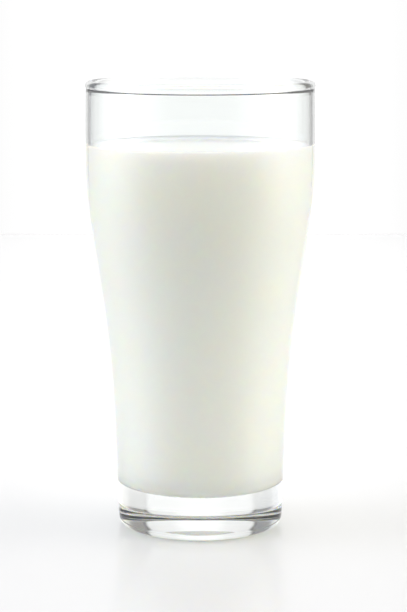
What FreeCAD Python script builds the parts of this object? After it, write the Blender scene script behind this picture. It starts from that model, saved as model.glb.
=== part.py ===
import FreeCAD, Part
import os

# A glass of milk: a one-piece bell tumbler with a thick foot and a rolled rim, and the milk in it.
# Millimetres, +Z up. The origin is the centre of the foot, on the surface that the glass stands on.

# Driving dimensions of the tumbler's outside.
HEIGHT = 154.0
FOOT_RADIUS = 28.4
HEEL_ROUNDING = 3.5
TAPER_HEIGHT = 30.5
TAPER_GAIN = 0.9
COLLAR_LENGTH = 28.0
COLLAR_RADIUS = 39.05
NECK_TUCK = 0.2

# How far the flare leaves the taper, and enters the collar, before it bends.
FLARE_LOWER_PULL = 50.0
FLARE_UPPER_PULL = 24.0

# The rolled rim: a round bead on the end of the wall, just proud of it outside.
BEAD_DIAMETER = 3.2
BEAD_STANDS_OUT = 0.25

# The glass's thickness.
FLOOR_THICKNESS = 14.5
LOWER_WALL = 2.6
UPPER_WALL = 1.8
INNER_CORNER_ROUNDING = 7.0

# The hollow under the foot leaves a flat ring to stand on.
STANDING_RING_WIDTH = 3.4
HOLLOW_DEPTH = 2.5

# The milk's level, measured down from the rim.
MILK_BELOW_RIM = 22.5

# Worked out from the values above.
NECK_RADIUS = COLLAR_RADIUS - NECK_TUCK
TAPER_LEAN = TAPER_GAIN / TAPER_HEIGHT
HOLLOW_RADIUS = FOOT_RADIUS - HEEL_ROUNDING - STANDING_RING_WIDTH
BEAD_RADIUS = BEAD_DIAMETER / 2
BEAD_CENTRE_RADIUS = NECK_RADIUS + BEAD_STANDS_OUT - BEAD_RADIUS
BEAD_CENTRE_HEIGHT = HEIGHT - BEAD_RADIUS
COLLAR_HEIGHT = HEIGHT - COLLAR_LENGTH
MILK_LEVEL = HEIGHT - MILK_BELOW_RIM

UP = FreeCAD.Vector(0, 0, 1)
ORIGIN = FreeCAD.Vector(0, 0, 0)


def point(radius, height):
    return FreeCAD.Vector(radius, 0, height)


def wall_line(bottom, lower_wall, upper_wall):
    """The side of the glass from a height up to the bead, set in from the outside by the wall."""
    foot = point(FOOT_RADIUS + TAPER_LEAN * bottom - lower_wall, bottom)
    taper_top = point(FOOT_RADIUS + TAPER_GAIN - lower_wall, TAPER_HEIGHT)
    leaves_taper = taper_top + point(TAPER_LEAN * FLARE_LOWER_PULL, FLARE_LOWER_PULL)
    collar = point(COLLAR_RADIUS - upper_wall, COLLAR_HEIGHT)
    enters_collar = collar - point(0, FLARE_UPPER_PULL)
    neck = point(NECK_RADIUS - upper_wall, BEAD_CENTRE_HEIGHT)
    neck_pull = point(0, (BEAD_CENTRE_HEIGHT - COLLAR_HEIGHT) / 2)
    flare = Part.BezierCurve()
    flare.setPoles([taper_top, leaves_taper, enters_collar, collar])
    barrel = Part.BezierCurve()
    barrel.setPoles([collar, collar + neck_pull, neck])
    return [Part.makeLine(foot, taper_top), flare.toShape(), barrel.toShape()]


def turned(bottom, lower_wall, upper_wall):
    """The solid of revolution inside the wall line, flat at the bottom and at the bead's centre."""
    side = wall_line(bottom, lower_wall, upper_wall)
    low = side[0].Vertexes[0].Point
    high = side[-1].Vertexes[-1].Point
    base = Part.makeLine(point(0, low.z), low)
    lid = Part.makeLine(high, point(0, high.z))
    axis = Part.makeLine(point(0, high.z), point(0, low.z))
    outline = Part.Wire([base, *side, lid, axis])
    return Part.Face(outline).revolve(ORIGIN, UP, 360)


def round_bottom_edge(solid, radius):
    """Rounds the edge where the solid's flat bottom meets its side."""
    bottom = min(solid.Faces, key=lambda face: face.CenterOfMass.z)
    return solid.makeFillet(radius, bottom.Edges)


def cavity():
    """The inside of the glass, from its floor up to the bead's centre."""
    return round_bottom_edge(turned(FLOOR_THICKNESS, LOWER_WALL, UPPER_WALL), INNER_CORNER_ROUNDING)


def hollow():
    """The ball whose cap hollows the foot from below."""
    ball_radius = (HOLLOW_RADIUS**2 + HOLLOW_DEPTH**2) / (2 * HOLLOW_DEPTH)
    return Part.makeSphere(ball_radius, point(0, HOLLOW_DEPTH - ball_radius))


def tumbler():
    """The glass: one solid with its foot, wall and rolled rim."""
    body = round_bottom_edge(turned(0, 0, 0), HEEL_ROUNDING)
    shell = body.cut(cavity()).cut(hollow())
    bead = Part.makeTorus(BEAD_CENTRE_RADIUS, BEAD_RADIUS, point(0, BEAD_CENTRE_HEIGHT), UP)
    return shell.fuse(bead).removeSplitter().Solids[0]


def milk():
    """The milk: the cavity up to the milk's level."""
    below = Part.makeCylinder(2 * COLLAR_RADIUS, MILK_LEVEL, ORIGIN, UP)
    return cavity().common(below).Solids[0]


def main():
    os.makedirs("parts", exist_ok=True)
    pieces = {"tumbler": tumbler(), "milk": milk()}
    for name, piece in pieces.items():
        piece.exportStep(f"parts/{name}.step")
        box = piece.BoundBox
        volume_ml = piece.Volume / 1000
        print(f"{name}: valid {piece.isValid()}, {volume_ml:.1f} ml, z {box.ZMin:.2f} to {box.ZMax:.2f}")


main()
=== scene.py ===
import math

import bpy
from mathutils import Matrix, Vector


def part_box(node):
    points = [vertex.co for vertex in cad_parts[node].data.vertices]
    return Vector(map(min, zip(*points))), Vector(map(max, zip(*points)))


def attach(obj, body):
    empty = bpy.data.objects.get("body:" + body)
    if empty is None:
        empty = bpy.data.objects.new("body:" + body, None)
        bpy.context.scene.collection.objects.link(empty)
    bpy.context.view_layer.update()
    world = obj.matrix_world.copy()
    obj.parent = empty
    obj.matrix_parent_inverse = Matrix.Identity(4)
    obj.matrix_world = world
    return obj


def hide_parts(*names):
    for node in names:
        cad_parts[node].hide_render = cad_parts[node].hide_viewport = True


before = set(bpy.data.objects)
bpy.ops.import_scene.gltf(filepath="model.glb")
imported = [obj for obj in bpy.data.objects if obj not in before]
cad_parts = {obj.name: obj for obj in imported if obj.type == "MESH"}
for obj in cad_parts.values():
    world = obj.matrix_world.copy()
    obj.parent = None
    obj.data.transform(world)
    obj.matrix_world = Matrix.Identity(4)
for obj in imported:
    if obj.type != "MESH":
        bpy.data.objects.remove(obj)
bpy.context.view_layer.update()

# A glass of milk: a bell tumbler of clear glass with a rolled rim and a thick foot, and the milk in it.
# Lengths are named in millimetres and turned to metres as the outlines are drawn.
MM = 0.001

# Heights come from the frame.
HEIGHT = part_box("tumbler")[1][2] / MM
FLOOR_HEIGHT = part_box("milk")[0][2] / MM
MILK_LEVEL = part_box("milk")[1][2] / MM

# The outside of the glass, from the foot to the neck under the rim.
# The pulls are how far the flare leaves the taper, and enters the collar, before it bends.
FOOT_RADIUS = 28.4
HEEL_ROUNDING = 3.5
TAPER_HEIGHT = 30.5
TAPER_GAIN = 0.9
COLLAR_LENGTH = 28.0
COLLAR_RADIUS = 39.05
NECK_TUCK = 0.2
FLARE_LOWER_PULL = 50.0
FLARE_UPPER_PULL = 24.0

# The rolled rim. Its outline starts outside, at an angle in degrees from level, and goes over the top.
BEAD_DIAMETER = 3.2
BEAD_STANDS_OUT = 0.25
BEAD_FILLET = 0.6
BEAD_STARTS_AT = -32

# The glass's thickness.
LOWER_WALL = 2.6
UPPER_WALL = 1.8
INNER_CORNER_ROUNDING = 7.0

# The hollow under the foot, and the ring around it that the glass stands on.
# The hollow is drawn to HOLLOW_DRAWN of its arc, and from there a lip slopes down to the ring.
HOLLOW_DEPTH = 2.5
HOLLOW_DRAWN = 0.96
STANDING_RING_WIDTH = 3.4
STANDING_RING_LIP = 0.7

# Room left for the shading to turn smoothly above the heel, and below the bead outside and inside.
ABOVE_HEEL = 1.0
BELOW_BEAD_OUTSIDE = 0.6
BELOW_BEAD_INSIDE = 0.3

# The milk climbs the glass where it wets it.
# It also goes into the wall by BITE, so that no air shows between them.
MENISCUS_RISE = 1.2
MENISCUS_REACH = 2.2
MENISCUS_WIDTH = 12.0
BITE = 0.12

# The milk's colour, where it is whitest and where it is creamiest.
MILK_WHITE = "#f7fbf5"
MILK_CREAM = "#f7faf0"

# The studio, in metres, with brightness 1 as paper white.
# WALLS gives shares of the wall light, from in front of the glass, past its sides, to behind it.
# The ceiling takes over from the walls as a direction's height goes from CEILING_STARTS to CEILING_FULL.
WALL_LIGHT = 3.5
WALLS = ((0.07, 0.12), (0.22, 0.42), (0.38, 0.96), (0.5, 1.03), (0.62, 0.68), (0.78, 0.26), (0.86, 0.08))
CEILING_STARTS = 0.6
CEILING_FULL = 0.8
CEILING_FRONT = 0.4
CEILING_BACK = 1.7
LEFT_TINT = "#f6f8ff"
RIGHT_TINT = "#fffcf7"
# The table's grey towards the front is painted shade, for the dim room in front of the glass.
TABLE_BY_GLASS = "#e3e3e3"
TABLE_PAINTED_SHADE_IN_FRONT = "#b6b6b6"
# Painted light: the table glows faintly towards the back, though it is no lamp.
TABLE_PAINTED_GLOW = 0.09
TABLE_SIZE = 12.0
TABLE_BELOW_FOOT = 0.05 * MM

# The backdrop. BACKDROP_FADE gives shares of its light, by distance sideways from its middle.
BACKDROP_SIZE = 1.0
BACKDROP_AWAY = 0.85
BACKDROP_LIGHT = 1.06
BACKDROP_FADE = ((0.09, 1.0), (0.2, 0.87), (0.41, 0.8), (0.48, 0.15))

# The camera: its lens in millimetres, its place in metres and its tilt in degrees.
CAMERA_LENS = 126.0
CAMERA_PLACE = (0.0011, -0.730, 0.1888)
CAMERA_LOOKS_DOWN = 8.74

# How finely things are drawn; the distances are in millimetres.
TURNS = 192
ARC_STEPS = 14
BEAD_STEPS = 56
FLARE_STEPS = 56
BARREL_STEPS = 12
HOLLOW_STEPS = 20
RING_STEPS = 4
STRAIGHT_STEPS = 8
MENISCUS_STEPS = 24
MILK_TOP_STEPS = 10
CLOSEST_POINTS = 0.05
WELD_DISTANCE = 0.002


# Drawing. An outline is a list of (radius, height) points in millimetres.

def bezier(start, leaves, enters, end, steps):
    """Points along a cubic curve, without its first point."""
    points = []
    for step in range(1, steps + 1):
        t = step / steps
        weights = ((1 - t) ** 3, 3 * t * (1 - t) ** 2, 3 * t * t * (1 - t), t**3)
        corners = (start, leaves, enters, end)
        radius = sum(w * c[0] for w, c in zip(weights, corners))
        height = sum(w * c[1] for w, c in zip(weights, corners))
        points.append((radius, height))
    return points


def arc(centre, radius, start_degrees, end_degrees, steps=ARC_STEPS):
    """Points along an arc; 0 degrees points outwards from the axis and 90 degrees up."""
    points = []
    for step in range(steps + 1):
        angle = math.radians(start_degrees + (end_degrees - start_degrees) * step / steps)
        points.append((centre[0] + radius * math.cos(angle), centre[1] + radius * math.sin(angle)))
    return points


def line(start, end, steps):
    """Points along a straight line, with both ends."""
    return [
        (start[0] + (end[0] - start[0]) * step / steps, start[1] + (end[1] - start[1]) * step / steps)
        for step in range(steps + 1)
    ]


def side_line(bottom, top, lower_inset, upper_inset):
    """The side of the glass between two heights, set in from its outside."""
    lean = TAPER_GAIN / TAPER_HEIGHT
    foot = (FOOT_RADIUS + lean * bottom - lower_inset, bottom)
    taper_top = (FOOT_RADIUS + TAPER_GAIN - lower_inset, TAPER_HEIGHT)
    leaves_taper = (taper_top[0] + lean * FLARE_LOWER_PULL, TAPER_HEIGHT + FLARE_LOWER_PULL)
    collar_height = HEIGHT - COLLAR_LENGTH
    collar = (COLLAR_RADIUS - upper_inset, collar_height)
    enters_collar = (collar[0], collar_height - FLARE_UPPER_PULL)
    neck_height = HEIGHT - BEAD_DIAMETER / 2
    neck = (COLLAR_RADIUS - NECK_TUCK - upper_inset, neck_height)
    half_way = (collar_height + neck_height) / 2
    points = line(foot, taper_top, STRAIGHT_STEPS)
    points += bezier(taper_top, leaves_taper, enters_collar, collar, FLARE_STEPS)
    points += bezier(collar, (collar[0], half_way), (collar[0], half_way), neck, BARREL_STEPS)
    kept = [p for p in points if p[1] < top - CLOSEST_POINTS]
    above = points[len(kept)]
    below = kept[-1]
    share = (top - below[1]) / (above[1] - below[1])
    kept.append((below[0] + (above[0] - below[0]) * share, top))
    return kept


def draw_and_turn(name, outline):
    """Draws an outline point by point from one vertex, and spins it about the axis into a closed solid."""
    bpy.ops.object.select_all(action="DESELECT")
    bpy.ops.mesh.primitive_plane_add(size=MM, location=(0, 0, 0))
    piece = bpy.context.object
    piece.name = name
    bpy.ops.object.mode_set(mode="EDIT")
    bpy.ops.mesh.select_all(action="SELECT")
    bpy.ops.mesh.merge(type="CENTER")
    pen = Vector((0, 0, 0))
    first = Vector((outline[0][0] * MM, 0, outline[0][1] * MM))
    bpy.ops.transform.translate(value=first - pen)
    pen = first
    for radius, height in outline[1:]:
        tip = Vector((radius * MM, 0, height * MM))
        bpy.ops.mesh.extrude_vertices_move(TRANSFORM_OT_translate={"value": tip - pen})
        pen = tip
    bpy.ops.mesh.select_all(action="SELECT")
    bpy.ops.mesh.spin(steps=TURNS, angle=math.tau, center=(0, 0, 0), axis=(0, 0, 1))
    bpy.ops.mesh.select_all(action="SELECT")
    bpy.ops.mesh.remove_doubles(threshold=WELD_DISTANCE * MM)
    bpy.ops.mesh.normals_make_consistent(inside=False)
    bpy.ops.object.mode_set(mode="OBJECT")
    bpy.ops.object.shade_smooth()
    return piece


# The glass.

def bead_points():
    """The rolled rim from the neck outside, over the top, to the wall inside, with a fillet under it."""
    radius = BEAD_DIAMETER / 2
    neck_radius = COLLAR_RADIUS - NECK_TUCK
    centre = (neck_radius + BEAD_STANDS_OUT - radius, HEIGHT - radius)
    inner_wall = neck_radius - UPPER_WALL
    reach = inner_wall - BEAD_FILLET - centre[0]
    fall = math.sqrt((radius + BEAD_FILLET) ** 2 - reach**2)
    fillet_centre = (inner_wall - BEAD_FILLET, centre[1] - fall)
    meets = math.degrees(math.atan2(-fall, reach))
    over = arc(centre, radius, BEAD_STARTS_AT, meets + 360, BEAD_STEPS)
    under = arc(fillet_centre, BEAD_FILLET, meets + 180, 0, ARC_STEPS)
    return over + under[1:]


def foot_points():
    """The underside: the hollow, the ring that the glass stands on, and the rounded heel."""
    ring_outer = FOOT_RADIUS - HEEL_ROUNDING
    hollow_radius = ring_outer - STANDING_RING_WIDTH
    ball = (hollow_radius**2 + HOLLOW_DEPTH**2) / (2 * HOLLOW_DEPTH)
    edge_angle = math.degrees(math.asin(hollow_radius / ball))
    dome = arc((0, HOLLOW_DEPTH - ball), ball, 90, 90 - edge_angle * HOLLOW_DRAWN, HOLLOW_STEPS)
    ring = line((hollow_radius + STANDING_RING_LIP, 0), (ring_outer, 0), RING_STEPS)
    heel = arc((ring_outer, HEEL_ROUNDING), HEEL_ROUNDING, -90, 0)
    return dome + ring + heel[1:]


def make_tumbler():
    bead = bead_points()
    corner_height = FLOOR_HEIGHT + INNER_CORNER_ROUNDING
    outside = side_line(HEEL_ROUNDING + ABOVE_HEEL, bead[0][1] - BELOW_BEAD_OUTSIDE, 0, 0)
    inside = side_line(corner_height, bead[-1][1] - BELOW_BEAD_INSIDE, LOWER_WALL, UPPER_WALL)
    corner_centre = (inside[0][0] - INNER_CORNER_ROUNDING, corner_height)
    corner = arc(corner_centre, INNER_CORNER_ROUNDING, 0, -90)
    floor = line(corner[-1], (0, FLOOR_HEIGHT), STRAIGHT_STEPS)
    outline = foot_points() + outside + bead + inside[::-1] + corner[1:] + floor[1:]
    return draw_and_turn("glass_tumbler", outline)


# The milk.

def make_milk():
    corner_height = FLOOR_HEIGHT + INNER_CORNER_ROUNDING
    contact = MILK_LEVEL + MENISCUS_RISE
    side = side_line(corner_height, contact, LOWER_WALL - BITE, UPPER_WALL - BITE)
    corner_centre = (side[0][0] - INNER_CORNER_ROUNDING - BITE, corner_height)
    corner = arc(corner_centre, INNER_CORNER_ROUNDING + BITE, -90, 0)
    bottom = line((0, FLOOR_HEIGHT - BITE), corner[0], STRAIGHT_STEPS)
    wall_radius = side[-1][0] - BITE
    climb = []
    for step in range(MENISCUS_STEPS + 1):
        inwards = MENISCUS_WIDTH * (step / MENISCUS_STEPS) ** 2
        rise = MENISCUS_RISE * math.exp(-inwards / MENISCUS_REACH)
        climb.append((wall_radius - inwards, MILK_LEVEL + rise))
    top = line(climb[-1], (0, MILK_LEVEL), MILK_TOP_STEPS)
    outline = bottom[:-1] + corner[:-1] + side + climb + top[1:]
    return draw_and_turn("milk_fill", outline)


# Materials.

def hex_to_linear(colour):
    """An sRGB hex colour as linear red, green and blue, with full alpha."""
    channels = [int(colour[i : i + 2], 16) / 255 for i in (1, 3, 5)]
    linear = [c / 12.92 if c <= 0.04045 else ((c + 0.055) / 1.055) ** 2.4 for c in channels]
    return (*linear, 1.0)


def add_node(tree, kind, settings=None, inputs=None, links=None):
    """Adds a node, sets its properties and input values, and links its inputs from other nodes' outputs."""
    node = tree.nodes.new(kind)
    for name, value in (settings or {}).items():
        setattr(node, name, value)
    for name, value in (inputs or {}).items():
        node.inputs[name].default_value = value
    for name, (source, output) in (links or {}).items():
        tree.links.new(source.outputs[output], node.inputs[name])
    return node


def spread_stops(ramp, shares):
    """Gives a ramp smooth steps of grey, level before the first place and after the last."""
    ramp.interpolation = "EASE"
    stops = ramp.elements
    for position, share in shares:
        stops.new(position).color = (share, share, share, 1)
    stops[0].color = stops[1].color
    stops[-1].color = stops[-2].color


def mix_colours(tree, first, second, share):
    """Adds a node that goes from the first colour to the second; its output 2 is the mixed colour."""
    return add_node(
        tree, "ShaderNodeMix",
        settings={"data_type": "RGBA"},
        inputs={6: hex_to_linear(first), 7: hex_to_linear(second)},
        links={"Factor": share},
    )


def new_material(name):
    material = bpy.data.materials.new(name)
    material.use_nodes = True
    material.node_tree.nodes.clear()
    return material


def soda_lime_glass():
    """Clear soda-lime glass, blown and fire-polished: flawless gloss, with the faintest waviness."""
    material = new_material("soda_lime_glass_fire_polished")
    tree = material.node_tree
    place = add_node(tree, "ShaderNodeTexCoord")
    waves = add_node(
        tree, "ShaderNodeTexNoise",
        inputs={"Scale": 1 / (14 * MM), "Detail": 1.0},
        links={"Vector": (place, "Object")},
    )
    bump = add_node(
        tree, "ShaderNodeBump",
        inputs={"Strength": 0.15, "Distance": 0.02 * MM},
        links={"Height": (waves, "Fac")},
    )
    shader = add_node(
        tree, "ShaderNodeBsdfPrincipled",
        inputs={
            "Base Color": hex_to_linear("#fdfffe"),
            "Roughness": 0.0,
            "IOR": 1.52,
            "Transmission Weight": 1.0,
        },
        links={"Normal": (bump, "Normal")},
    )
    add_node(tree, "ShaderNodeOutputMaterial", links={"Surface": (shader, "BSDF")})
    return material


def whole_milk():
    """Whole milk, opaque from fine fat drops: light spreads a centimetre or two in it, and it is wet.

    Its fat isn't quite even, so its white drifts a little towards cream and its gloss towards satin.
    """
    material = new_material("whole_milk")
    tree = material.node_tree
    place = add_node(tree, "ShaderNodeTexCoord")
    fat = add_node(
        tree, "ShaderNodeTexNoise",
        inputs={"Scale": 1 / (16 * MM), "Detail": 2.0},
        links={"Vector": (place, "Object")},
    )
    colour = mix_colours(tree, MILK_WHITE, MILK_CREAM, (fat, "Fac"))
    gloss = add_node(
        tree, "ShaderNodeMapRange",
        inputs={"To Min": 0.06, "To Max": 0.1},
        links={"Value": (fat, "Fac")},
    )
    shader = add_node(
        tree, "ShaderNodeBsdfPrincipled",
        settings={"subsurface_method": "RANDOM_WALK"},
        inputs={
            "IOR": 1.35,
            "Specular IOR Level": 0.35,
            "Subsurface Weight": 1.0,
            "Subsurface Radius": (12.0, 10.0, 6.5),
            "Subsurface Scale": 1.5 * MM,
        },
        links={"Base Color": (colour, 2), "Roughness": (gloss, "Result")},
    )
    add_node(tree, "ShaderNodeOutputMaterial", links={"Surface": (shader, "BSDF")})
    return material


def white_table():
    """White acrylic sheet with a soft sheen, greyer towards the front as painted shade, and glowing faintly
    towards the back as painted light.
    """
    material = new_material("white_acrylic_sheet_painted_shade_and_glow")
    tree = material.node_tree
    place = add_node(tree, "ShaderNodeTexCoord")
    across = add_node(tree, "ShaderNodeSeparateXYZ", links={"Vector": (place, "Object")})
    # Painted shade: the sheet turns grey towards the front, where the room is dim.
    near = add_node(
        tree, "ShaderNodeMapRange",
        settings={"interpolation_type": "SMOOTHSTEP"},
        inputs={"From Min": -0.32, "From Max": -0.1},
        links={"Value": (across, "Y")},
    )
    colour = mix_colours(tree, TABLE_PAINTED_SHADE_IN_FRONT, TABLE_BY_GLASS, (near, "Result"))
    # Painted light: a faint glow rising towards the back, lifting the floor where the glass shades it.
    glow = add_node(
        tree, "ShaderNodeMapRange",
        inputs={"From Min": -0.25, "From Max": 0.2, "To Max": TABLE_PAINTED_GLOW},
        links={"Value": (across, "Y")},
    )
    shader = add_node(
        tree, "ShaderNodeBsdfPrincipled",
        inputs={"Roughness": 0.22, "IOR": 1.62, "Emission Color": (1, 1, 1, 1)},
        links={"Base Color": (colour, 2), "Emission Strength": (glow, "Result")},
    )
    add_node(tree, "ShaderNodeOutputMaterial", links={"Surface": (shader, "BSDF")})
    return material


# The studio.

def make_table():
    bpy.ops.object.select_all(action="DESELECT")
    bpy.ops.mesh.primitive_plane_add(size=TABLE_SIZE, location=(0, 0, -TABLE_BELOW_FOOT))
    table = bpy.context.object
    table.name = "table"
    bpy.ops.object.transform_apply(location=True, rotation=False, scale=False)
    table.data.materials.append(white_table())


def make_surroundings():
    """A room with big soft windows on both sides, dim in front and dark beside the backdrop."""
    world = bpy.data.worlds.new("studio")
    world.use_nodes = True
    tree = world.node_tree
    tree.nodes.clear()
    place = add_node(tree, "ShaderNodeTexCoord")
    level = add_node(
        tree, "ShaderNodeVectorMath",
        settings={"operation": "MULTIPLY"},
        inputs={1: (1, 1, 0)},
        links={0: (place, "Generated")},
    )
    heading = add_node(
        tree, "ShaderNodeVectorMath",
        settings={"operation": "NORMALIZE"},
        links={0: (level, "Vector")},
    )
    backwards = add_node(tree, "ShaderNodeSeparateXYZ", links={"Vector": (heading, "Vector")})
    around = add_node(
        tree, "ShaderNodeMapRange",
        inputs={"From Min": -1.0, "From Max": 1.0},
        links={"Value": (backwards, "Y")},
    )
    walls = add_node(tree, "ShaderNodeValToRGB", links={"Fac": (around, "Result")})
    spread_stops(walls.color_ramp, WALLS)
    lit_walls = add_node(
        tree, "ShaderNodeMath",
        settings={"operation": "MULTIPLY"},
        inputs={1: WALL_LIGHT},
        links={0: (walls, "Color")},
    )
    direction = add_node(tree, "ShaderNodeSeparateXYZ", links={"Vector": (place, "Generated")})
    ceiling = add_node(
        tree, "ShaderNodeMapRange",
        settings={"interpolation_type": "SMOOTHSTEP"},
        inputs={"From Min": -0.7, "From Max": 0.5, "To Min": CEILING_FRONT, "To Max": CEILING_BACK},
        links={"Value": (direction, "Y")},
    )
    height = add_node(
        tree, "ShaderNodeMapRange",
        settings={"interpolation_type": "SMOOTHSTEP"},
        inputs={"From Min": CEILING_STARTS, "From Max": CEILING_FULL},
        links={"Value": (direction, "Z")},
    )
    room = add_node(
        tree, "ShaderNodeMix",
        settings={"data_type": "FLOAT"},
        links={"Factor": (height, "Result"), "A": (lit_walls, "Value"), "B": (ceiling, "Result")},
    )
    side = add_node(
        tree, "ShaderNodeMapRange",
        settings={"interpolation_type": "SMOOTHSTEP"},
        inputs={"From Min": -0.6, "From Max": 0.6},
        links={"Value": (direction, "X")},
    )
    tint = mix_colours(tree, LEFT_TINT, RIGHT_TINT, (side, "Result"))
    background = add_node(
        tree, "ShaderNodeBackground",
        links={"Color": (tint, 2), "Strength": (room, "Result")},
    )
    add_node(tree, "ShaderNodeOutputWorld", links={"Surface": (background, "Background")})
    bpy.context.scene.world = world


def lit_backdrop():
    """White sheet that glows towards the glass and fades towards its sides, and is clear from behind."""
    material = new_material("backlit_white_sheet")
    tree = material.node_tree
    place = add_node(tree, "ShaderNodeTexCoord")
    across = add_node(tree, "ShaderNodeSeparateXYZ", links={"Vector": (place, "Object")})
    aside = add_node(tree, "ShaderNodeMath", settings={"operation": "ABSOLUTE"}, links={0: (across, "X")})
    fade = add_node(tree, "ShaderNodeValToRGB", links={"Fac": (aside, "Value")})
    spread_stops(fade.color_ramp, BACKDROP_FADE)
    glow = add_node(
        tree, "ShaderNodeMath",
        settings={"operation": "MULTIPLY"},
        inputs={1: BACKDROP_LIGHT},
        links={0: (fade, "Color")},
    )
    sheet = add_node(tree, "ShaderNodeEmission", links={"Strength": (glow, "Value")})
    clear = add_node(tree, "ShaderNodeBsdfTransparent")
    facing = add_node(tree, "ShaderNodeNewGeometry")
    one_sided = add_node(
        tree, "ShaderNodeMixShader",
        links={0: (facing, "Backfacing"), 1: (sheet, "Emission"), 2: (clear, "BSDF")},
    )
    add_node(tree, "ShaderNodeOutputMaterial", links={"Surface": (one_sided, "Shader")})
    return material


def make_backdrop():
    bpy.ops.object.select_all(action="DESELECT")
    bpy.ops.mesh.primitive_plane_add(
        size=BACKDROP_SIZE,
        location=(0, BACKDROP_AWAY, BACKDROP_SIZE / 2),
        rotation=(math.radians(90), 0, 0),
    )
    backdrop = bpy.context.object
    backdrop.name = "backdrop"
    bpy.ops.object.transform_apply(location=True, rotation=True, scale=False)
    backdrop.data.materials.append(lit_backdrop())


def make_camera():
    """A camera with a long lens, a little above the rim and looking down at the middle of the glass."""
    camera = bpy.data.cameras.new("camera")
    camera.lens = CAMERA_LENS
    camera.sensor_width = 36.0
    camera.clip_start = 0.01
    eye = bpy.data.objects.new("camera", camera)
    eye.location = CAMERA_PLACE
    eye.rotation_euler = (math.radians(90 - CAMERA_LOOKS_DOWN), 0, 0)
    bpy.context.scene.collection.objects.link(eye)
    bpy.context.scene.camera = eye


def main():
    tumbler = make_tumbler()
    tumbler.data.materials.append(soda_lime_glass())
    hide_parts("tumbler")
    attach(tumbler, "root")
    milk = make_milk()
    milk.data.materials.append(whole_milk())
    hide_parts("milk")
    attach(milk, "root")
    make_table()
    make_surroundings()
    make_backdrop()
    make_camera()
    bpy.context.scene.view_settings.view_transform = "Standard"
    bpy.context.scene.cycles.blur_glossy = 0.0


main()
